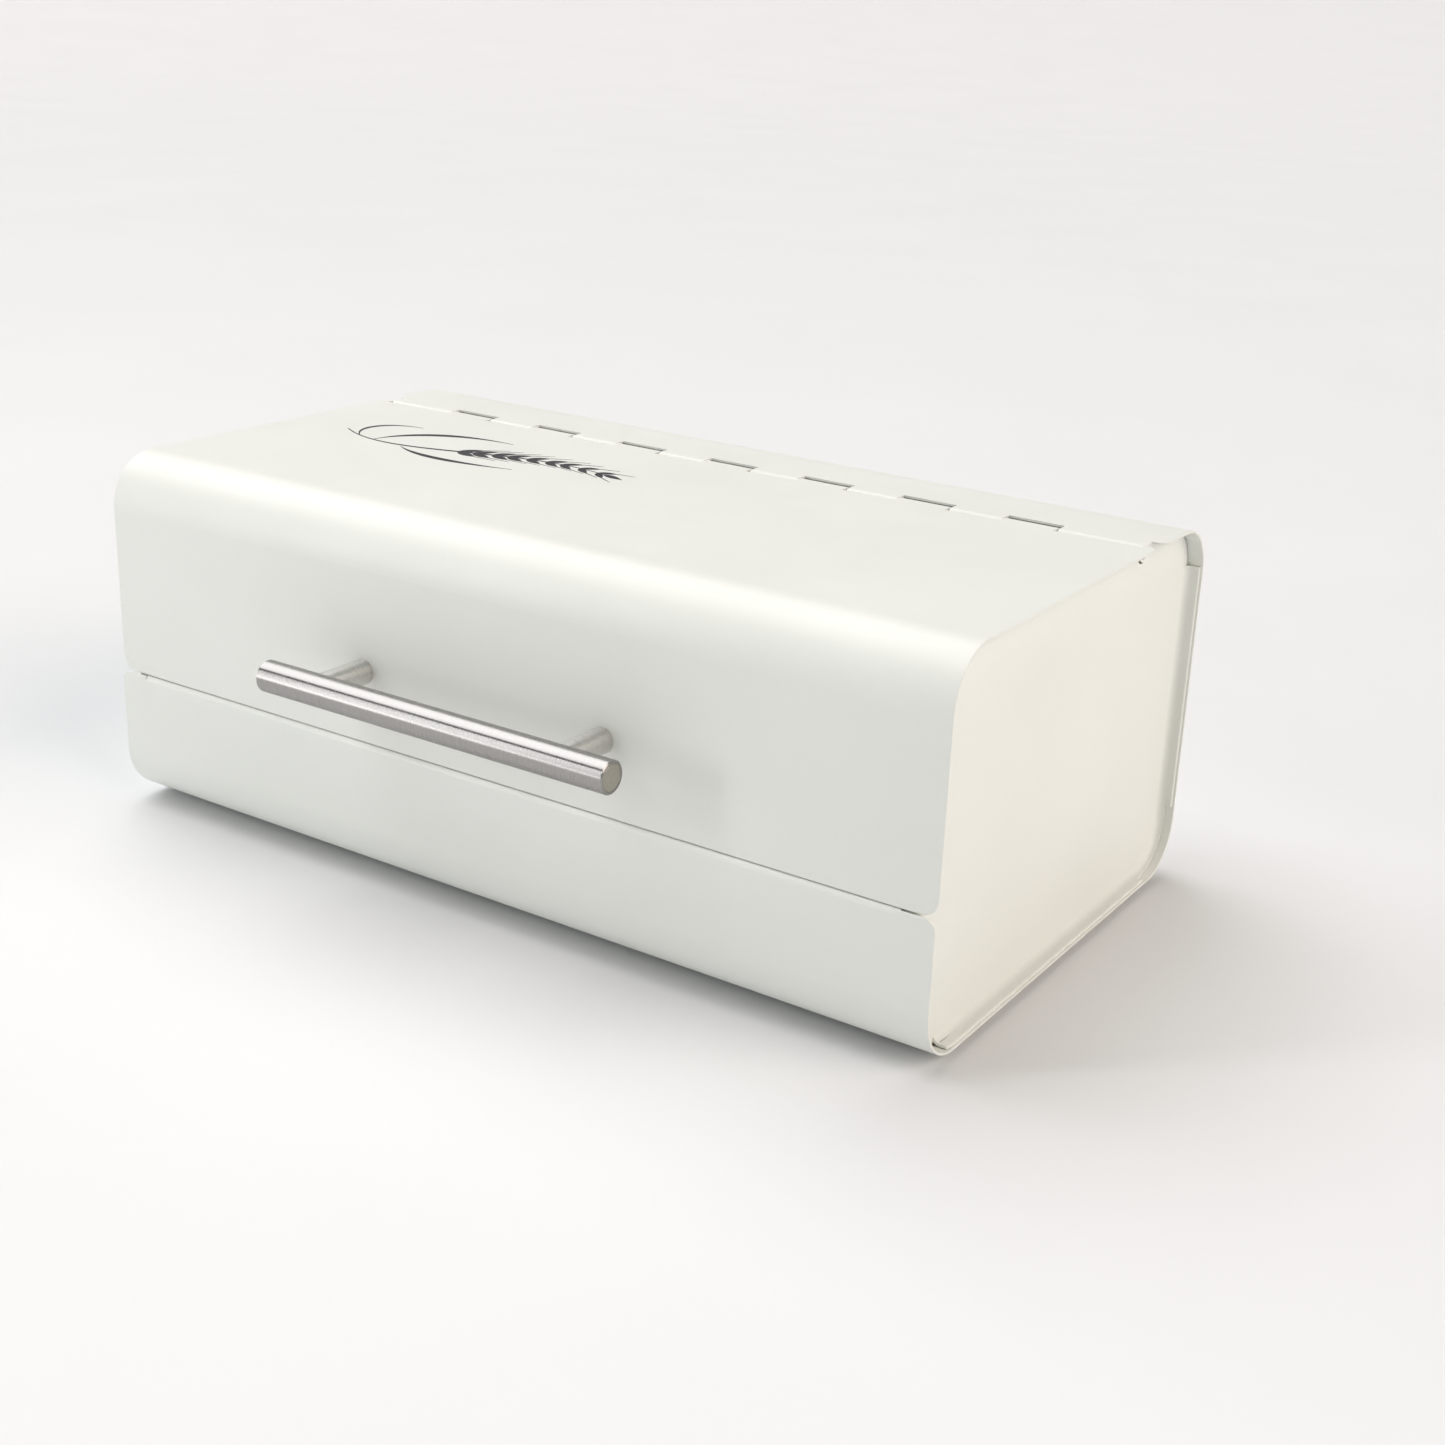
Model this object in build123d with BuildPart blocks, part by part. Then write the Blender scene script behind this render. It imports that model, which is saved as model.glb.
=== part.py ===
"""Bread box in bent sheet steel, with a one-piece lid on a rolled hinge and a bar handle.

Millimetres, +Z up, the front of the box faces -Y. The origin is on the table under the
middle of the whole object, so the feet stand on Z = 0.
"""

import os

from build123d import *

os.makedirs("parts", exist_ok=True)

# ---------------------------------------------------------------- driving dimensions
WIDTH = 330.0  # outside, over the sheet edges
DEPTH = 182.0  # outside, lip to back face
HEIGHT = 126.0  # outside, bottom sheet to top sheet
SHEET = 0.8  # painted sheet thickness
BEND = 18.0  # outside radius of the four long bends

FOOT_HEIGHT = 2.0
FOOT_RADIUS = 6.5
FOOT_INSET_X = 30.0  # foot centre to the side
FOOT_INSET_Y = 32.0  # foot centre to the front or back face

LIP_HEIGHT = 48.5  # fixed front lip, above the bottom sheet
SEAM_GAP = 0.3  # between the lip's raw ends and the lid
FOLD_GAP = 0.25  # between the lip's fold and the lid
LIP_FOLD = 8.0  # inward fold along the top of the lip
LIP_FOLD_HALF = 153.3  # half length of that fold
FOLD_BEND = 2.0  # its outside bend radius
LIP_CORNER = 4.0  # rounded upper corners of the lip
LID_CORNER = 5.5  # rounded lower corners of the lid
LID_SETBACK = 1.0  # the lid's face stands this far behind the lip's
EDGE_ROUND = 0.3  # painted edges of the two bent sheets

HINGE_FROM_FRONT = 138.6  # hinge axis behind the lip
PIN_RADIUS = 2.0
PIN_CLEARANCE = 0.08
KNUCKLE_GAP = 1.3  # knuckle to the facing sheet edge
KNUCKLE_SWEEP = 300.0  # degrees of roll round the pin
TAB_PITCH = 20.0
TAB_COUNT = 13  # tabs between the two long end tabs: seven on the lid, six on the box
TAB_SIDE_GAP = 0.5  # between neighbouring tabs
END_TAB_X = 160.0  # outer end of the long end tabs
EAR_X = 160.6  # the lid reaches past the end tabs from here out
EAR_SHORT = 0.8  # the ears stop this far in front of the axis
EAR_CORNER = 4.0
STRIP_STEP = 5.9  # full-width part of the top strip stops this far behind the axis

PANEL_RECESS = 5.5  # end panels sit this far inside the sheet edges
PANEL_CLEARANCE = 0.4  # panel edge to the lid and to the lip
PANEL_CORNER = 17.7
PANEL_ROOT = 3.2  # outside bend radius where a panel's face turns into its flange
FLANGE_EDGE = 0.8  # outward flange stops this far inside the sheet edge
BEND_FLANGE_CUT = 2.3  # extra trim of that flange round the lower rear bend
FLANGE_ROUND = 0.6  # painted free edge of that flange
FLANGE_FROM_FRONT = 15.0
FLANGE_TOP = 110.0
SLIT_FROM_FRONT = 16.5  # relief slit in the root of that flange, tapering backwards
SLIT_LENGTH = 7.5
SLIT_OPEN = 0.6  # its width at the front end
SLIT_OUT = 1.5  # outside the panel's face
TOE_LENGTH = 40.0  # the part of a panel's face that reaches down behind the lip
TOE_CORNER = 17.0
STIFFENER = 6.0  # inward fold along the front and top of a panel
STIFFENER_BOTTOM = 30.0
STIFFENER_TO_AXIS = 12.0
STIFFENER_BEND = 2.0
NOTCH_CLEARANCE = 0.7  # panel notch round the end knuckle

HANDLE_LENGTH = 138.0
HANDLE_RADIUS = 5.3
HANDLE_WALL = 1.0
HANDLE_CENTRES = 97.0
HANDLE_REACH = 21.2  # bar axis in front of the lip
HANDLE_HEIGHT = 73.6  # bar axis above the bottom sheet
POST_RADIUS = 4.25
CAP_LENGTH = 4.0
CAP_CLEARANCE = 0.04
EDGE_BREAK = 0.35

SCREW_RADIUS = 2.0
SCREW_REACH = 8.0  # thread inside the post
SCREW_HEAD_RADIUS = 4.0
SCREW_HEAD_HEIGHT = 2.6
SCREW_SLOT = (5.0, 1.0, 1.5)  # cross recess: length, width, depth
WASHER_RADIUS = 4.8
WASHER_THICKNESS = 0.8
THREAD_CLEARANCE = 0.05
SCREW_HOLE_RADIUS = 2.25

# ---------------------------------------------------------------- derived places
FRONT = -(DEPTH + HANDLE_REACH + HANDLE_RADIUS) / 2 + HANDLE_REACH + HANDLE_RADIUS
BACK = FRONT + DEPTH
BASE = FOOT_HEIGHT
TOP = BASE + HEIGHT
SIDE = WIDTH / 2
LIP_TOP = BASE + LIP_HEIGHT
LID_BOTTOM = LIP_TOP + SEAM_GAP
LID_FRONT = FRONT + LID_SETBACK
FOLD_Z = LID_BOTTOM - FOLD_GAP

KNUCKLE_RADIUS = PIN_RADIUS + PIN_CLEARANCE + SHEET
AXIS_Y = FRONT + HINGE_FROM_FRONT
AXIS_Z = TOP - KNUCKLE_RADIUS
LID_EDGE_Y = AXIS_Y - KNUCKLE_RADIUS - KNUCKLE_GAP
STRIP_EDGE_Y = AXIS_Y + KNUCKLE_RADIUS + KNUCKLE_GAP
FIRST_TAB_X = -TAB_PITCH * TAB_COUNT / 2

HANDLE_Y = FRONT - HANDLE_REACH
HANDLE_Z = BASE + HANDLE_HEIGHT
POST_XS = (-HANDLE_CENTRES / 2, HANDLE_CENTRES / 2)


def long_edges(faces):
    """The edges of those cut faces, without the short ones across the sheet's thickness."""
    return [edge for face in faces for edge in face.edges() if edge.length > 2 * SHEET]


def slot_centres(first):
    """X of every other place along the hinge, where the facing sheet's tab needs its slot."""
    return [FIRST_TAB_X + (index + 0.5) * TAB_PITCH for index in range(first, TAB_COUNT, 2)]


SLOT_WIDTH = TAB_PITCH + TAB_SIDE_GAP
LID_ROLL_HALF = -FIRST_TAB_X - TAB_SIDE_GAP / 2
ROLL_CLEAR = 2 * KNUCKLE_RADIUS + KNUCKLE_GAP  # from that edge past the far side of the roll

# ---------------------------------------------------------------- body shell
# One sheet: fold, front lip, bottom, back and top strip, with tabs rolled down round the pin.
with BuildPart() as body_shell:
    with BuildSketch(Plane.YZ.offset(-SIDE)):
        with BuildLine():
            FilletPolyline(
                (FRONT, LIP_TOP),
                (FRONT, BASE),
                (BACK, BASE),
                (BACK, TOP),
                (STRIP_EDGE_Y, TOP),
                radius=BEND,
            )
            offset(amount=SHEET, side=Side.LEFT)
        make_face()
    extrude(amount=WIDTH)

    # the upper corners of the lip are round
    lip_corners = body_shell.edges().filter_by(Axis.Y).filter_by(
        lambda edge: edge.center().Z > LIP_TOP - 0.1 and edge.center().Y < FRONT + SHEET
    )
    fillet(lip_corners, LIP_CORNER)

    # the full-width strip stops short of the hinge beyond the end tabs, with a round corner
    with BuildSketch(Plane.XY.offset(TOP - 2 * SHEET)):
        step_depth = AXIS_Y + STRIP_STEP - STRIP_EDGE_Y
        with Locations(
            (-(SIDE + END_TAB_X) / 2, STRIP_EDGE_Y + step_depth / 2),
            ((SIDE + END_TAB_X) / 2, STRIP_EDGE_Y + step_depth / 2),
        ):
            Rectangle(SIDE - END_TAB_X, step_depth)
    extrude(amount=3 * SHEET, mode=Mode.SUBTRACT)
    strip_corners = body_shell.edges().filter_by(Axis.Z).filter_by(
        lambda edge: abs(edge.center().X) > SIDE - 0.1 and edge.center().Z > TOP - SHEET
    )
    fillet(strip_corners, EAR_CORNER)

    end_faces = body_shell.faces().filter_by(lambda face: abs(face.center().X) > SIDE - 0.01)
    fillet(long_edges(end_faces), EDGE_ROUND)

    # between its raw ends the lip's top edge folds inwards on a small bend
    with BuildSketch(Plane.YZ.offset(-LIP_FOLD_HALF)):
        with Locations((FRONT, LIP_TOP)):
            Rectangle(SHEET, FOLD_BEND, align=(Align.MIN, Align.MAX))
    extrude(amount=2 * LIP_FOLD_HALF, mode=Mode.SUBTRACT)
    with BuildSketch(Plane.YZ.offset(-LIP_FOLD_HALF)):
        with BuildLine():
            FilletPolyline(
                (FRONT, LIP_TOP - FOLD_BEND),
                (FRONT, FOLD_Z),
                (FRONT + LIP_FOLD, FOLD_Z),
                radius=FOLD_BEND,
            )
            offset(amount=SHEET, side=Side.RIGHT)
        make_face()
    extrude(amount=2 * LIP_FOLD_HALF)

    # the edge rolls forwards and down round the pin, then slots are cut for the lid's tabs
    with BuildSketch(Plane.YZ.offset(-END_TAB_X)):
        with BuildLine():
            flat_top = Line((STRIP_EDGE_Y, TOP), (AXIS_Y, TOP))
            outside = CenterArc((AXIS_Y, AXIS_Z), KNUCKLE_RADIUS, 90, KNUCKLE_SWEEP)
            inside = CenterArc((AXIS_Y, AXIS_Z), KNUCKLE_RADIUS - SHEET, 90, KNUCKLE_SWEEP)
            flat_under = Line((AXIS_Y, TOP - SHEET), (STRIP_EDGE_Y, TOP - SHEET))
            Line(outside @ 1, inside @ 1)
            Line(flat_under @ 1, flat_top @ 0)
        make_face()
    extrude(amount=2 * END_TAB_X)
    with BuildSketch(Plane.XY.offset(TOP)):
        with Locations(*[(x, STRIP_EDGE_Y - ROLL_CLEAR / 2 - 1) for x in slot_centres(0)]):
            Rectangle(SLOT_WIDTH, ROLL_CLEAR + 2)
    extrude(amount=-2 * KNUCKLE_RADIUS - 1, mode=Mode.SUBTRACT)

# ---------------------------------------------------------------- lid panel
# One sheet: front, bend and top, with tabs rolled down behind the pin.
with BuildPart() as lid_panel:
    with BuildSketch(Plane.YZ.offset(-SIDE)):
        with BuildLine():
            FilletPolyline(
                (LID_FRONT, LID_BOTTOM),
                (LID_FRONT, TOP),
                (LID_EDGE_Y, TOP),
                radius=BEND,
            )
            offset(amount=SHEET, side=Side.RIGHT)
        make_face()
    extrude(amount=WIDTH)

    lid_corners = lid_panel.edges().filter_by(Axis.Y).filter_by(
        lambda edge: edge.center().Z < LID_BOTTOM + 0.1
    )
    fillet(lid_corners, LID_CORNER)

    # ears beside the end tabs
    ear_end = AXIS_Y - EAR_SHORT
    with BuildSketch(Plane.XY.offset(TOP - SHEET)):
        for side in (-1, 1):
            with Locations((side * (SIDE + EAR_X) / 2, (LID_EDGE_Y + ear_end) / 2)):
                Rectangle(SIDE - EAR_X, ear_end - LID_EDGE_Y)
    extrude(amount=SHEET)
    ear_corners = lid_panel.edges().filter_by(Axis.Z).filter_by(
        lambda edge: abs(edge.center().X) > SIDE - 0.1 and edge.center().Y > ear_end - 0.1
    )
    fillet(ear_corners, EAR_CORNER)

    # the edge rolls backwards and down round the pin, then slots are cut for the box's tabs
    with BuildSketch(Plane.YZ.offset(-LID_ROLL_HALF)):
        with BuildLine():
            flat_top = Line((LID_EDGE_Y, TOP), (AXIS_Y, TOP))
            outside = CenterArc((AXIS_Y, AXIS_Z), KNUCKLE_RADIUS, 90, -KNUCKLE_SWEEP)
            inside = CenterArc((AXIS_Y, AXIS_Z), KNUCKLE_RADIUS - SHEET, 90, -KNUCKLE_SWEEP)
            flat_under = Line((AXIS_Y, TOP - SHEET), (LID_EDGE_Y, TOP - SHEET))
            Line(outside @ 1, inside @ 1)
            Line(flat_under @ 1, flat_top @ 0)
        make_face()
    extrude(amount=2 * LID_ROLL_HALF)
    with BuildSketch(Plane.XY.offset(TOP)):
        with Locations(*[(x, LID_EDGE_Y + ROLL_CLEAR / 2 + 1) for x in slot_centres(1)]):
            Rectangle(SLOT_WIDTH, ROLL_CLEAR + 2)
    extrude(amount=-2 * KNUCKLE_RADIUS - 1, mode=Mode.SUBTRACT)

    with BuildSketch(Plane.XZ.offset(-LID_FRONT)):
        with Locations(*[(x, HANDLE_Z) for x in POST_XS]):
            Circle(SCREW_HOLE_RADIUS)
    extrude(amount=2 * SHEET, both=True, mode=Mode.SUBTRACT)

    end_faces = lid_panel.faces().filter_by(lambda face: abs(face.center().X) > SIDE - 0.01)
    bottom_face = lid_panel.faces().sort_by(Axis.Z)[:1]
    fillet(long_edges(end_faces + bottom_face), EDGE_ROUND)

# ---------------------------------------------------------------- end panels
# A flat face inside the sheet edges. Low down and at the back it turns outwards into a flange
# against the shell; at the front and top it turns inwards to stiffen the edge under the lid.
PANEL_OUT = SIDE - PANEL_RECESS
PANEL_IN = PANEL_OUT - SHEET
PANEL_FRONT = LID_FRONT + SHEET + PANEL_CLEARANCE
PANEL_BACK = BACK - SHEET
PANEL_BOTTOM = BASE + SHEET
PANEL_TOP = TOP - SHEET - PANEL_CLEARANCE
PANEL_MIDDLE = ((PANEL_FRONT + PANEL_BACK) / 2, (PANEL_BOTTOM + PANEL_TOP) / 2)
PANEL_SIZE = (PANEL_BACK - PANEL_FRONT, PANEL_TOP - PANEL_BOTTOM)
FLANGE_X = SIDE - FLANGE_EDGE
STIFFENER_X = PANEL_OUT - STIFFENER
FLANGE_START_Y = FRONT + FLANGE_FROM_FRONT
STIFFENER_END_Y = AXIS_Y - STIFFENER_TO_AXIS
STIFFENER_Z = BASE + STIFFENER_BOTTOM
SLIT_X = PANEL_OUT + SLIT_OUT
SLIT_Y = FRONT + SLIT_FROM_FRONT
TOE_MIDDLE = (FRONT + SHEET + PANEL_CLEARANCE + TOE_LENGTH / 2, PANEL_BOTTOM + TOE_LENGTH / 2)

with BuildPart() as flanged_corner:
    with BuildSketch(Plane.YZ.offset(PANEL_IN)):
        with Locations(PANEL_MIDDLE):
            RectangleRounded(*PANEL_SIZE, radius=PANEL_CORNER)
    extrude(amount=FLANGE_X - PANEL_IN)
    fillet(flanged_corner.faces().sort_by(Axis.X)[0].edges(), PANEL_ROOT)
    offset(amount=-SHEET, openings=flanged_corner.faces().sort_by(Axis.X)[-1])
    fillet(flanged_corner.faces().sort_by(Axis.X)[-1].inner_wires()[0].edges(), FLANGE_ROUND)
    with BuildSketch(Plane.YZ.offset(PANEL_IN)):
        with Locations((FLANGE_START_Y, BASE)):
            Rectangle(DEPTH, FLANGE_TOP, align=(Align.MIN, Align.MIN))
    extrude(amount=PANEL_RECESS + SHEET, mode=Mode.INTERSECT)
    with BuildSketch(Plane.YZ.offset(FLANGE_X - BEND_FLANGE_CUT)):
        with Locations((BACK - BEND - 4, BASE)):
            Rectangle(BEND + 4, BEND + 4, align=(Align.MIN, Align.MIN))
    extrude(amount=PANEL_RECESS, mode=Mode.SUBTRACT)

with BuildPart() as stiffened_corner:
    with BuildSketch(Plane.YZ.offset(STIFFENER_X)):
        with Locations(PANEL_MIDDLE):
            RectangleRounded(*PANEL_SIZE, radius=PANEL_CORNER)
    extrude(amount=STIFFENER)
    fillet(stiffened_corner.faces().sort_by(Axis.X)[-1].edges(), STIFFENER_BEND)
    offset(amount=-SHEET, openings=stiffened_corner.faces().sort_by(Axis.X)[0])
    with BuildSketch(Plane.YZ.offset(STIFFENER_X)):
        with Locations((STIFFENER_END_Y, STIFFENER_Z)):
            Rectangle(DEPTH, HEIGHT, align=(Align.MAX, Align.MIN))
    extrude(amount=STIFFENER, mode=Mode.INTERSECT)

with BuildPart() as right_end_panel:
    with BuildSketch(Plane.YZ.offset(PANEL_IN)):
        with Locations(PANEL_MIDDLE):
            RectangleRounded(*PANEL_SIZE, radius=PANEL_CORNER)
        with Locations(TOE_MIDDLE):
            RectangleRounded(TOE_LENGTH, TOE_LENGTH, radius=TOE_CORNER)
        with Locations((FLANGE_START_Y, BASE)):
            Rectangle(DEPTH, FLANGE_TOP, align=(Align.MIN, Align.MIN), mode=Mode.SUBTRACT)
        with Locations((STIFFENER_END_Y, STIFFENER_Z)):
            Rectangle(DEPTH, HEIGHT, align=(Align.MAX, Align.MIN), mode=Mode.SUBTRACT)
    extrude(amount=SHEET)
    add(flanged_corner.part)
    add(stiffened_corner.part)
    # relief slit, widest at its front end
    with BuildSketch(Plane.XY.offset(PANEL_BOTTOM)):
        with BuildLine():
            Polyline(
                (SLIT_X - SLIT_OPEN / 2, SLIT_Y),
                (SLIT_X + SLIT_OPEN / 2, SLIT_Y),
                (SLIT_X, SLIT_Y + SLIT_LENGTH),
                close=True,
            )
        make_face()
    extrude(amount=PANEL_ROOT, mode=Mode.SUBTRACT)
    # notch round the end knuckle, open at the top
    notch_radius = KNUCKLE_RADIUS + NOTCH_CLEARANCE
    with BuildSketch(Plane.YZ.offset(PANEL_IN)):
        with Locations((AXIS_Y, AXIS_Z)):
            Circle(notch_radius)
            Rectangle(2 * notch_radius, 2 * KNUCKLE_RADIUS, align=(Align.CENTER, Align.MIN))
    extrude(amount=SHEET, mode=Mode.SUBTRACT)

with BuildPart() as left_end_panel:
    mirror(right_end_panel.part, about=Plane.YZ)

# ---------------------------------------------------------------- hinge pin
with BuildPart() as hinge_pin:
    pin_half_length = END_TAB_X + 0.4
    with BuildSketch(Plane.YZ.offset(-pin_half_length)):
        with Locations((AXIS_Y, AXIS_Z)):
            Circle(PIN_RADIUS)
    extrude(amount=2 * pin_half_length)
    chamfer(hinge_pin.edges(), EDGE_BREAK)

# ---------------------------------------------------------------- feet
# Low rubber discs stuck under the bottom sheet.
feet = {}
for y_name, y in (("front", FRONT + FOOT_INSET_Y), ("rear", BACK - FOOT_INSET_Y)):
    for x_name, x in (("left", -SIDE + FOOT_INSET_X), ("right", SIDE - FOOT_INSET_X)):
        with BuildPart() as foot:
            with BuildSketch():
                with Locations((x, y)):
                    Circle(FOOT_RADIUS)
            extrude(amount=FOOT_HEIGHT)
            fillet(foot.faces().sort_by(Axis.Z)[0].edges(), FOOT_HEIGHT * 0.55)
        feet[f"foot_{y_name}_{x_name}"] = foot.part

# ---------------------------------------------------------------- handle
with BuildPart() as handle_bar:
    with BuildSketch(Plane.YZ.offset(-HANDLE_LENGTH / 2)):
        with Locations((HANDLE_Y, HANDLE_Z)):
            Circle(HANDLE_RADIUS)
            Circle(HANDLE_RADIUS - HANDLE_WALL, mode=Mode.SUBTRACT)
    extrude(amount=HANDLE_LENGTH)
    outer_rims = handle_bar.edges().filter_by(GeomType.CIRCLE).filter_by(
        lambda edge: edge.radius > HANDLE_RADIUS - HANDLE_WALL / 2
    )
    chamfer(outer_rims, EDGE_BREAK)

caps = {}
for name, outer_x, inward in (
    ("left", -HANDLE_LENGTH / 2, 1),
    ("right", HANDLE_LENGTH / 2, -1),
):
    with BuildPart() as cap:
        with BuildSketch(Plane.YZ.offset(outer_x)):
            with Locations((HANDLE_Y, HANDLE_Z)):
                Circle(HANDLE_RADIUS - HANDLE_WALL - CAP_CLEARANCE)
        extrude(amount=inward * CAP_LENGTH)
        chamfer(cap.edges().filter_by(GeomType.CIRCLE), EDGE_BREAK / 2)
    caps[f"handle_cap_{name}"] = cap.part

posts = {}
for name, x in zip(("left", "right"), POST_XS):
    with BuildPart() as post:
        with BuildSketch(Plane.XZ.offset(-LID_FRONT)):
            with Locations((x, HANDLE_Z)):
                Circle(POST_RADIUS)
        extrude(amount=LID_FRONT - HANDLE_Y)
        # the end against the bar is cut to the bar's round
        with BuildSketch(Plane.YZ.offset(x)):
            with Locations((HANDLE_Y, HANDLE_Z)):
                Circle(HANDLE_RADIUS)
        extrude(amount=2 * POST_RADIUS, both=True, mode=Mode.SUBTRACT)
        # threaded hole for the screw
        with BuildSketch(Plane.XZ.offset(-LID_FRONT)):
            with Locations((x, HANDLE_Z)):
                Circle(SCREW_RADIUS + THREAD_CLEARANCE)
        extrude(amount=SCREW_REACH + 1, mode=Mode.SUBTRACT)
    posts[f"handle_post_{name}"] = post.part

WASHER_Y = LID_FRONT + SHEET
HEAD_Y = WASHER_Y + WASHER_THICKNESS
post_places = [(x, HANDLE_Z) for x in POST_XS]

with BuildPart() as handle_washers:
    with BuildSketch(Plane.XZ.offset(-HEAD_Y)):
        with Locations(*post_places):
            Circle(WASHER_RADIUS)
            Circle(SCREW_RADIUS + 2 * THREAD_CLEARANCE, mode=Mode.SUBTRACT)
    extrude(amount=WASHER_THICKNESS)

with BuildPart() as handle_screws:
    with BuildSketch(Plane.XZ.offset(-HEAD_Y)):
        with Locations(*post_places):
            Circle(SCREW_HEAD_RADIUS)
    extrude(amount=-SCREW_HEAD_HEIGHT)
    fillet(handle_screws.faces().sort_by(Axis.Y)[-2:].edges(), SCREW_HEAD_HEIGHT * 0.4)
    with BuildSketch(Plane.XZ.offset(-HEAD_Y)):
        with Locations(*post_places):
            Circle(SCREW_RADIUS)
    extrude(amount=WASHER_THICKNESS + SHEET + SCREW_REACH)
    # cross recess
    with BuildSketch(Plane.XZ.offset(-HEAD_Y - SCREW_HEAD_HEIGHT)):
        with Locations(*post_places):
            Rectangle(SCREW_SLOT[0], SCREW_SLOT[1])
            Rectangle(SCREW_SLOT[1], SCREW_SLOT[0])
    extrude(amount=SCREW_SLOT[2], mode=Mode.SUBTRACT)

# ---------------------------------------------------------------- export
pieces = {
    "body_shell": body_shell.part,
    "left_end_panel": left_end_panel.part,
    "right_end_panel": right_end_panel.part,
    "hinge_pin": hinge_pin.part,
    **feet,
    "lid_panel": lid_panel.part,
    "handle_bar": handle_bar.part,
    **caps,
    **posts,
    "handle_washers": handle_washers.part,
    "handle_screws": handle_screws.part,
}
for name, piece in pieces.items():
    piece.label = name
    export_step(piece, f"parts/{name}.step")
    print(f"{name:18s} {len(piece.solids())} solid(s) {piece.volume:10.1f} mm3")
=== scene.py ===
"""Looks of the bread box: paint, brushed steel, the printed sprig, studio and camera."""

import math

import bmesh
import bpy
from mathutils import Euler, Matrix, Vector
from mathutils.geometry import interpolate_bezier


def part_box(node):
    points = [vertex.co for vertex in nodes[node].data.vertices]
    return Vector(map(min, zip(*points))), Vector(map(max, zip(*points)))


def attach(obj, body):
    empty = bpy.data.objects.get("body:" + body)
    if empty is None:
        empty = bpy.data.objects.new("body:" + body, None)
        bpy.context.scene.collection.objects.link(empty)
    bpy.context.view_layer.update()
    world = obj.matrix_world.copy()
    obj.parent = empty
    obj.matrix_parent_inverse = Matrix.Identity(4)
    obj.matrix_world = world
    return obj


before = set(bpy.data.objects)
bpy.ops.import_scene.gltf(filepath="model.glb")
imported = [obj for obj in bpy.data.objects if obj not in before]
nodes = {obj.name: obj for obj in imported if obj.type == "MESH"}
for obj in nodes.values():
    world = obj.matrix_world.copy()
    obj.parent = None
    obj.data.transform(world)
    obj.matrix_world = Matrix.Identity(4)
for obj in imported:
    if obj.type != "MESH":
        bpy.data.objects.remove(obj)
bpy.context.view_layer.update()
MM = 0.001

# ---------------------------------------------------------------- places read from the CAD
BODY_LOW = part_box("body_shell")[0]
LID_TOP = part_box("lid_panel")[1].z
BAR_LOW, BAR_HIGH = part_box("handle_bar")
BAR_MIDDLE = (BAR_LOW + BAR_HIGH) / 2

# ---------------------------------------------------------------- colours, linear
PAINT_LIGHT = (0.802, 0.822, 0.785)
PAINT_DARK = (0.776, 0.796, 0.756)
# The bar is the posts' steel made darker: painted shade, standing in for the dark surroundings that
# its lower side reflects.
BAR_PAINTED_SHADE_LIGHT = (0.385, 0.376, 0.367)
BAR_PAINTED_SHADE_DARK = (0.315, 0.308, 0.30)
POST_LIGHT = (0.70, 0.69, 0.67)
POST_DARK = (0.60, 0.59, 0.57)
CAP_LIGHT = (0.47, 0.445, 0.395)
CAP_DARK = (0.3854, 0.3649, 0.3239)
ZINC_LIGHT = (0.62, 0.62, 0.61)
ZINC_DARK = (0.4836, 0.4836, 0.4758)
INK_LIGHT = (0.0374, 0.0374, 0.0442)
INK_DARK = (0.022, 0.022, 0.026)
RUBBER_LIGHT = (0.04, 0.04, 0.04)
RUBBER_DARK = (0.02, 0.02, 0.02)
FLOOR_LIGHT = (0.77, 0.78, 0.79)
FLOOR_DARK = (0.755, 0.765, 0.775)


# ---------------------------------------------------------------- shader helpers
NOISE_LOW, NOISE_HIGH = 0.3, 0.7  # nearly all of a noise lies between these


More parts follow.
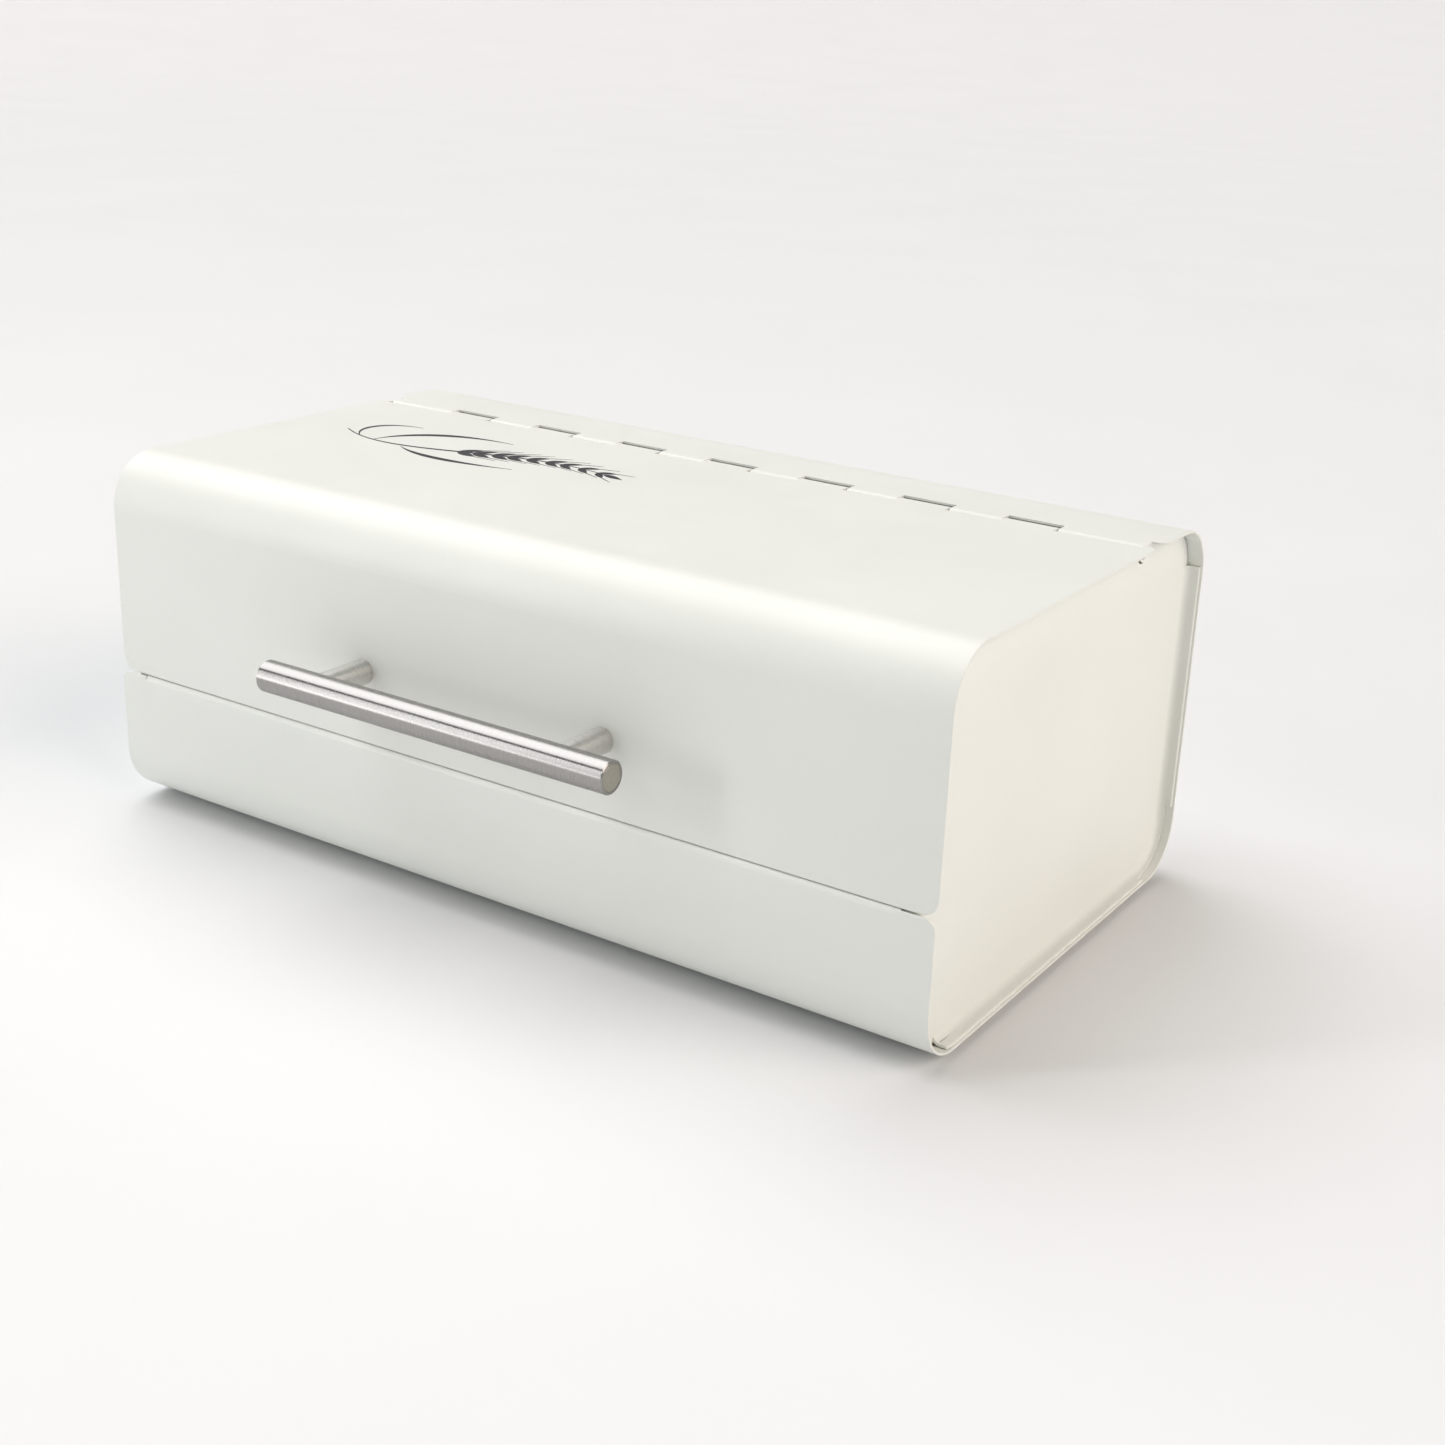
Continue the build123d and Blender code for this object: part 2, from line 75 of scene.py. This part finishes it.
class Finish:
    """A procedural material on one Principled shader, in object coordinates (metres)."""

    def __init__(self, name, metallic=0.0, ior=1.5):
        self.material = bpy.data.materials.new(name)
        self.material.use_nodes = True
        self.tree = self.material.node_tree
        self.tree.nodes.clear()
        output = self.tree.nodes.new("ShaderNodeOutputMaterial")
        self.shader = self.tree.nodes.new("ShaderNodeBsdfPrincipled")
        self.tree.links.new(self.shader.outputs["BSDF"], output.inputs["Surface"])
        self.shader.inputs["Metallic"].default_value = metallic
        self.shader.inputs["IOR"].default_value = ior
        self.normal = None

    def place(self, scale=(1, 1, 1), centre=(0, 0, 0)):
        """Object coordinates measured from centre and stretched by scale."""
        source = self.tree.nodes.new("ShaderNodeTexCoord")
        mapping = self.tree.nodes.new("ShaderNodeMapping")
        mapping.inputs["Location"].default_value = [-c * s for c, s in zip(centre, scale)]
        mapping.inputs["Scale"].default_value = scale
        self.tree.links.new(source.outputs["Object"], mapping.inputs["Vector"])
        return mapping.outputs["Vector"]

    def noise(self, place, scale, detail=2.0, roughness=0.5):
        """A grey noise with about scale lumps to the metre."""
        node = self.tree.nodes.new("ShaderNodeTexNoise")
        node.inputs["Scale"].default_value = scale
        node.inputs["Detail"].default_value = detail
        node.inputs["Roughness"].default_value = roughness
        self.tree.links.new(place, node.inputs["Vector"])
        return node.outputs["Fac"]

    def rings(self, place, pitch):
        """Turned rings round the X axis, that far apart in metres."""
        node = self.tree.nodes.new("ShaderNodeTexWave")
        node.wave_type = "RINGS"
        node.rings_direction = "X"
        node.inputs["Scale"].default_value = math.pi / 10 / pitch
        node.inputs["Distortion"].default_value = 0.6
        self.tree.links.new(place, node.inputs["Vector"])
        return node.outputs["Fac"]

    def spread(self, grey, low, high):
        """Maps the usual range of a noise to low..high."""
        node = self.tree.nodes.new("ShaderNodeMapRange")
        node.inputs["From Min"].default_value = NOISE_LOW
        node.inputs["From Max"].default_value = NOISE_HIGH
        node.inputs["To Min"].default_value = low
        node.inputs["To Max"].default_value = high
        self.tree.links.new(grey, node.inputs["Value"])
        return node.outputs["Result"]

    def colour(self, grey, dark, light):
        """Base colour between dark and light, by a noise."""
        node = self.tree.nodes.new("ShaderNodeMix")
        node.data_type = "RGBA"
        node.inputs["A"].default_value = (*dark, 1)
        node.inputs["B"].default_value = (*light, 1)
        self.tree.links.new(self.spread(grey, 0, 1), node.inputs["Factor"])
        self.tree.links.new(node.outputs["Result"], self.shader.inputs["Base Color"])

    def roughness(self, grey, low, high):
        """Roughness between low and high, by a noise."""
        self.tree.links.new(self.spread(grey, low, high), self.shader.inputs["Roughness"])

    def bump(self, grey, height):
        """Adds relief of that height in metres to what is there already."""
        node = self.tree.nodes.new("ShaderNodeBump")
        node.inputs["Distance"].default_value = height
        self.tree.links.new(grey, node.inputs["Height"])
        if self.normal is not None:
            self.tree.links.new(self.normal, node.inputs["Normal"])
        self.normal = node.outputs["Normal"]
        self.tree.links.new(self.normal, self.shader.inputs["Normal"])


def powder_coat():
    """Satin paint: slow drift of shade and gloss, orange peel about 1 mm wide, fine grain."""
    finish = Finish("powder_coat")
    place = finish.place()
    finish.colour(finish.noise(place, scale=14, detail=3), PAINT_DARK, PAINT_LIGHT)
    finish.roughness(finish.noise(place, scale=60, detail=4), low=0.40, high=0.46)
    finish.bump(finish.noise(place, scale=900), height=0.010 * MM)
    finish.bump(finish.noise(place, scale=4200, detail=1), height=0.0025 * MM)
    return finish.material


def brushed_steel(name, axis, dark, light):
    """Steel brushed round and round its own axis: fine scratches, stretched along the brushing."""
    finish = Finish(name, metallic=1.0)
    across, along = 9000, 150  # scratches to the metre, across and along the brushing
    scale = [across if letter == axis else along for letter in "XYZ"]
    scratches = finish.noise(finish.place(scale), scale=1, detail=4, roughness=0.7)
    finish.colour(scratches, dark, light)
    finish.roughness(scratches, low=0.26, high=0.30)
    finish.bump(scratches, height=0.0004 * MM)
    tangent = finish.tree.nodes.new("ShaderNodeTangent")
    tangent.direction_type = "RADIAL"
    tangent.axis = axis
    finish.tree.links.new(tangent.outputs["Tangent"], finish.shader.inputs["Tangent"])
    finish.shader.inputs["Anisotropic"].default_value = 0.85
    finish.shader.inputs["Anisotropic Rotation"].default_value = 0.25
    return finish.material


def turned_metal():
    """The bar's end plugs: turned rings on a dull face."""
    finish = Finish("cap_metal", metallic=1.0)
    place = finish.place(centre=BAR_MIDDLE)
    cloud = finish.noise(place, scale=900, detail=3)
    finish.colour(cloud, CAP_DARK, CAP_LIGHT)
    finish.roughness(cloud, low=0.42, high=0.52)
    finish.bump(finish.rings(place, pitch=0.42 * MM), height=0.012 * MM)
    return finish.material


def plated_metal():
    """Zinc plating: small cloudy crystals."""
    finish = Finish("zinc_wire", metallic=1.0)
    place = finish.place()
    cloud = finish.noise(place, scale=700, detail=4)
    finish.colour(cloud, ZINC_DARK, ZINC_LIGHT)
    finish.roughness(cloud, low=0.26, high=0.38)
    finish.bump(finish.noise(place, scale=2600), height=0.004 * MM)
    return finish.material


def moulded_rubber():
    """Black rubber with a gritty moulded skin."""
    finish = Finish("foot_rubber")
    grit = finish.noise(finish.place(), scale=1800, detail=4)
    finish.colour(grit, RUBBER_DARK, RUBBER_LIGHT)
    finish.roughness(grit, low=0.62, high=0.8)
    finish.bump(grit, height=0.03 * MM)
    return finish.material


def printed_ink():
    """Screen-printed ink: a little uneven in density and gloss."""
    finish = Finish("lid_ink")
    place = finish.place()
    finish.colour(finish.noise(place, scale=500, detail=4), INK_DARK, INK_LIGHT)
    finish.roughness(finish.noise(place, scale=1500), low=0.38, high=0.5)
    finish.bump(finish.noise(place, scale=3000), height=0.002 * MM)
    return finish.material


def floor_paper():
    """Plain pale paper, a little uneven."""
    finish = Finish("floor_paper")
    place = finish.place()
    finish.colour(finish.noise(place, scale=5, detail=4), FLOOR_DARK, FLOOR_LIGHT)
    finish.roughness(finish.noise(place, scale=40, detail=3), low=0.7, high=0.85)
    return finish.material


# ---------------------------------------------------------------- finishes of the CAD nodes
paint = powder_coat()
# The bar's steel is darkened below the posts' same steel: painted shade for the dark reflection
# along its lower side.
bar_steel_painted_shade = brushed_steel("brushed_bar", "X", BAR_PAINTED_SHADE_DARK, BAR_PAINTED_SHADE_LIGHT)
post_steel = brushed_steel("brushed_post", "Y", POST_DARK, POST_LIGHT)
cap_metal = turned_metal()
zinc = plated_metal()
rubber = moulded_rubber()
ink = printed_ink()

finishes = {
    paint: ("body_shell", "left_end_panel", "right_end_panel", "lid_panel"),
    bar_steel_painted_shade: ("handle_bar",),
    post_steel: ("handle_post_left", "handle_post_right"),
    cap_metal: ("handle_cap_left", "handle_cap_right"),
    zinc: ("hinge_pin", "handle_washers", "handle_screws"),
    rubber: ("foot_front_left", "foot_front_right", "foot_rear_left", "foot_rear_right"),
}
for material, names in finishes.items():
    for name in names:
        mesh = nodes[name].data
        mesh.materials.clear()
        mesh.materials.append(material)

# ---------------------------------------------------------------- the printed sprig
# A wheat ear in dark ink, where the lid carries its mark. Millimetres on the lid's top, with
# x along the box and y towards the back, from the mark's front left corner.
PRINT_CORNER = Vector((-138 * MM, BODY_LOW.y + 77 * MM))
PRINT_THICKNESS = 0.04 * MM
STROKE_STEP = 0.0004 * MM  # each stroke lies this much higher than the one before
STEM = ((0, 12), (38, -12), (66, 30), (114, 19))
LEAVES = (  # handles of each blade, and its greatest width
    (((19, 4.5), (20, 20), (36, 34), (62, 33)), 3.2),
    (((34, 3.5), (46, -4), (64, -3), (86, 3)), 2.8),
    (((10, 7.5), (0, 16), (4, 30), (20, 31)), 1.9),
)
GRAIN_PAIRS = 9
GRAIN_FIRST, GRAIN_LAST = 0.50, 0.97  # along the stem, from 0 to 1
GRAIN_LENGTH, GRAIN_WIDTH = 9.8, 3.7
GRAIN_LEAN = math.radians(30)
GRAIN_GAP = 0.8  # from the stem
GRAIN_SHRINK = 0.3  # loss of size towards the ear's tip
END_GRAIN_WIDTH = 0.8 * GRAIN_WIDTH
AWN_LENGTH = 9.0
AWN_ROOT = 1.5  # inside the grain's tip
AWN_WIDTHS = (0.5, 0.5, 0.2)
AWN_LEAN = 0.6 * GRAIN_LEAN
STEM_THIN, STEM_THICK = 0.5, 1.6
LEAF_THIN = 0.35
SWELL = 1.5  # power of a curve's width: the larger, the slimmer towards its ends
BELLY = 0.8  # power of a grain's length: below 1 it is widest before its middle
POINT = 0.05  # half the width of a grain's ends


class Print:
    """Gathers flat ink shapes into one mesh of thin slabs."""

    def __init__(self):
        self.builder = bmesh.new()
        self.level = LID_TOP

    def slab(self, left, right):
        """A thin closed slab between two rows of points of the same length."""
        rows = []
        self.level += STROKE_STEP
        for height in (self.level - STROKE_STEP, self.level + PRINT_THICKNESS):
            for side in (left, right):
                corners = [PRINT_CORNER + Vector(point) * MM for point in side]
                rows.append([self.builder.verts.new((c.x, c.y, height)) for c in corners])
        low_left, low_right, top_left, top_right = rows
        loop = (low_left, low_right, top_right, top_left)
        for first, second in zip(loop, loop[1:] + loop[:1]):
            for index in range(len(first) - 1):
                self.builder.faces.new(
                    (first[index], second[index], second[index + 1], first[index + 1])
                )
        for end in (0, -1):
            self.builder.faces.new([row[end] for row in loop])

    def stroke(self, points, widths):
        """A pen stroke along points, with a width at each."""
        left, right = [], []
        for index, point in enumerate(points):
            before = points[max(index - 1, 0)]
            after = points[min(index + 1, len(points) - 1)]
            along = (after - before).normalized()
            across = Vector((-along.y, along.x)) * widths[index] / 2
            left.append(point + across)
            right.append(point - across)
        self.slab(left, right)

    def curve(self, handles, thin, thick, steps=48):
        """A stroke on a Bezier curve that swells from thin to thick and back."""
        points = interpolate_bezier(*[Vector((*handle, 0)) for handle in handles], steps)
        points = [point.xy for point in points]
        shares = [index / (steps - 1) for index in range(steps)]
        swells = [math.sin(math.pi * share) ** SWELL for share in shares]
        self.stroke(points, [thin + (thick - thin) * swell for swell in swells])
        return points

    def grain(self, root, angle, length, width, steps=16):
        """A pointed oval that starts at root."""
        along = Vector((math.cos(angle), math.sin(angle)))
        across = Vector((-along.y, along.x))
        left, right = [], []
        for index in range(steps + 1):
            share = index / steps
            half = max(width / 2 * math.sin(math.pi * share**BELLY), POINT)
            left.append(root + along * length * share + across * half)
            right.append(root + along * length * share - across * half)
        self.slab(left, right)

    def object(self, name):
        """The finished print as one object."""
        bmesh.ops.recalc_face_normals(self.builder, faces=self.builder.faces)
        mesh = bpy.data.meshes.new(name)
        self.builder.to_mesh(mesh)
        self.builder.free()
        piece = bpy.data.objects.new(name, mesh)
        bpy.context.scene.collection.objects.link(piece)
        return piece


def heading_at(points, index):
    """Direction of a row of points there, as an angle."""
    along = points[min(index + 1, len(points) - 1)] - points[index - 1]
    return math.atan2(along.y, along.x)


def towards(angle, length):
    """A step of that length in that direction."""
    return Vector((math.cos(angle), math.sin(angle))) * length


def print_sprig():
    """The stem, its three blades, then pairs of grains with their awns up to the tip."""
    sprig = Print()
    stem = sprig.curve(STEM, STEM_THIN, STEM_THICK, steps=80)
    for handles, width in LEAVES:
        sprig.curve(handles, LEAF_THIN, width)
    for pair in range(GRAIN_PAIRS):
        share = GRAIN_FIRST + (GRAIN_LAST - GRAIN_FIRST) * pair / (GRAIN_PAIRS - 1)
        index = round(share * (len(stem) - 1))
        heading = heading_at(stem, index)
        size = 1 - GRAIN_SHRINK * pair / GRAIN_PAIRS
        for side in (-1, 1):
            angle = heading + side * GRAIN_LEAN
            root = stem[index] + towards(angle, GRAIN_GAP)
            tip = root + towards(angle, GRAIN_LENGTH * size)
            far = tip + towards(heading + side * AWN_LEAN, AWN_LENGTH * size)
            sprig.grain(root, angle, GRAIN_LENGTH * size, GRAIN_WIDTH * size)
            sprig.stroke([tip - towards(angle, AWN_ROOT), tip, far], AWN_WIDTHS)
    heading = heading_at(stem, len(stem) - 1)
    sprig.grain(stem[-1], heading, GRAIN_LENGTH, END_GRAIN_WIDTH)
    return sprig.object("lid_print")


lid_print = print_sprig()
lid_print.data.materials.append(ink)
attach(lid_print, "lid")

# ---------------------------------------------------------------- studio
FLOOR_CENTRE = 0.02  # radius of the middle facet, in metres
FLOOR_FLAT = 4.0  # radius of the flat part
FLOOR_EDGE = 9.0
FLOOR_RISE = 1.1  # the far edge sweeps up to this height


def add_floor(rings=24, spokes=64):
    """A pale paper floor that sweeps up far away on every side."""
    builder = bmesh.new()
    circles = []
    for ring in range(rings + 1):
        radius = max(FLOOR_EDGE * (ring / rings) ** 2, FLOOR_CENTRE)
        height = FLOOR_RISE * max((radius - FLOOR_FLAT) / (FLOOR_EDGE - FLOOR_FLAT), 0) ** 2
        turns = [2 * math.pi * spoke / spokes for spoke in range(spokes)]
        circles.append(
            [builder.verts.new((radius * math.cos(t), radius * math.sin(t), height)) for t in turns]
        )
    builder.faces.new(circles[0])
    for inner, outer in zip(circles, circles[1:]):
        for spoke in range(spokes):
            after = (spoke + 1) % spokes
            builder.faces.new((inner[spoke], outer[spoke], outer[after], inner[after]))
    mesh = bpy.data.meshes.new("floor")
    builder.to_mesh(mesh)
    builder.free()
    floor = bpy.data.objects.new("floor", mesh)
    bpy.context.scene.collection.objects.link(floor)
    for face in mesh.polygons:
        face.use_smooth = True
    mesh.materials.append(floor_paper())


# Wide far lights: name, the direction each comes from, its width in degrees, strength, colour
FAR_LIGHTS = (
    ("overhead", (-0.50, 0.10, 0.85), 62, 2.45, (1.0, 1.0, 1.0)),
    ("warm_right", (0.85, 0.05, 0.52), 50, 1.75, (1.13, 1.0, 0.90)),
)
# A tall strip light stands on the floor at the front left.
STRIP_PLACE = Vector((-1.0, -1.2, 0.65))
STRIP_SIZE = (0.25, 1.3)
STRIP_POWER = 8.7
SKY_STRENGTH = 0.12  # the light from all round
BACKDROP_STRENGTH = 0.88  # the pale distance that the camera sees past the floor's edge


def add_lamp(name, kind, towards_light):
    """A lamp that shines from that direction."""
    light = bpy.data.lights.new(name, kind)
    lamp = bpy.data.objects.new(name, light)
    lamp.rotation_mode = "QUATERNION"
    lamp.rotation_quaternion = Vector(towards_light).to_track_quat("Z", "Y")
    bpy.context.scene.collection.objects.link(lamp)
    return lamp, light


def add_lights():
    """Two wide far lights, the strip light, and a sky that looks brighter than it shines."""
    for name, direction, width, strength, colour in FAR_LIGHTS:
        light = add_lamp(name, "SUN", direction)[1]
        light.angle = math.radians(width)
        light.energy = strength
        light.color = colour
    lamp, light = add_lamp("strip", "AREA", (STRIP_PLACE.x, STRIP_PLACE.y, 0))
    lamp.location = STRIP_PLACE
    light.shape = "RECTANGLE"
    light.size, light.size_y = STRIP_SIZE
    light.energy = STRIP_POWER
    world = bpy.data.worlds.new("studio")
    world.use_nodes = True
    tree = world.node_tree
    sky = tree.nodes["Background"]
    sky.inputs["Color"].default_value = (1, 1, 1, 1)
    rays = tree.nodes.new("ShaderNodeLightPath")
    strength = tree.nodes.new("ShaderNodeMapRange")
    strength.inputs["To Min"].default_value = SKY_STRENGTH
    strength.inputs["To Max"].default_value = BACKDROP_STRENGTH
    tree.links.new(rays.outputs["Is Camera Ray"], strength.inputs["Value"])
    tree.links.new(strength.outputs["Result"], sky.inputs["Strength"])
    bpy.context.scene.world = world


# ---------------------------------------------------------------- camera, upper view
AZIMUTH, ELEVATION, ROLL = (math.radians(degrees) for degrees in (31.95, 19.84, 2.57))
DISTANCE = 0.6608
TARGET = Vector((56.66 * MM, BODY_LOW.y + 80 * MM, BODY_LOW.z + 68 * MM))
SENSOR = 36.0
LENS = 49.69
SHIFT = (-0.0302, -0.0199)


def add_camera():
    """The camera of the photo's upper view."""
    back = Vector(
        (
            math.sin(AZIMUTH) * math.cos(ELEVATION),
            -math.cos(AZIMUTH) * math.cos(ELEVATION),
            math.sin(ELEVATION),
        )
    )
    data = bpy.data.cameras.new("camera")
    data.sensor_width = SENSOR
    data.lens = LENS
    data.shift_x, data.shift_y = SHIFT
    data.clip_start = 0.01
    camera = bpy.data.objects.new("camera", data)
    camera.location = TARGET + back * DISTANCE
    camera.rotation_mode = "QUATERNION"
    level = (-back).to_track_quat("-Z", "Y")
    camera.rotation_quaternion = level @ Euler((0, 0, ROLL)).to_quaternion()
    bpy.context.scene.collection.objects.link(camera)
    bpy.context.scene.camera = camera


add_floor()
add_lights()
add_camera()
bpy.context.scene.view_settings.view_transform = "Standard"
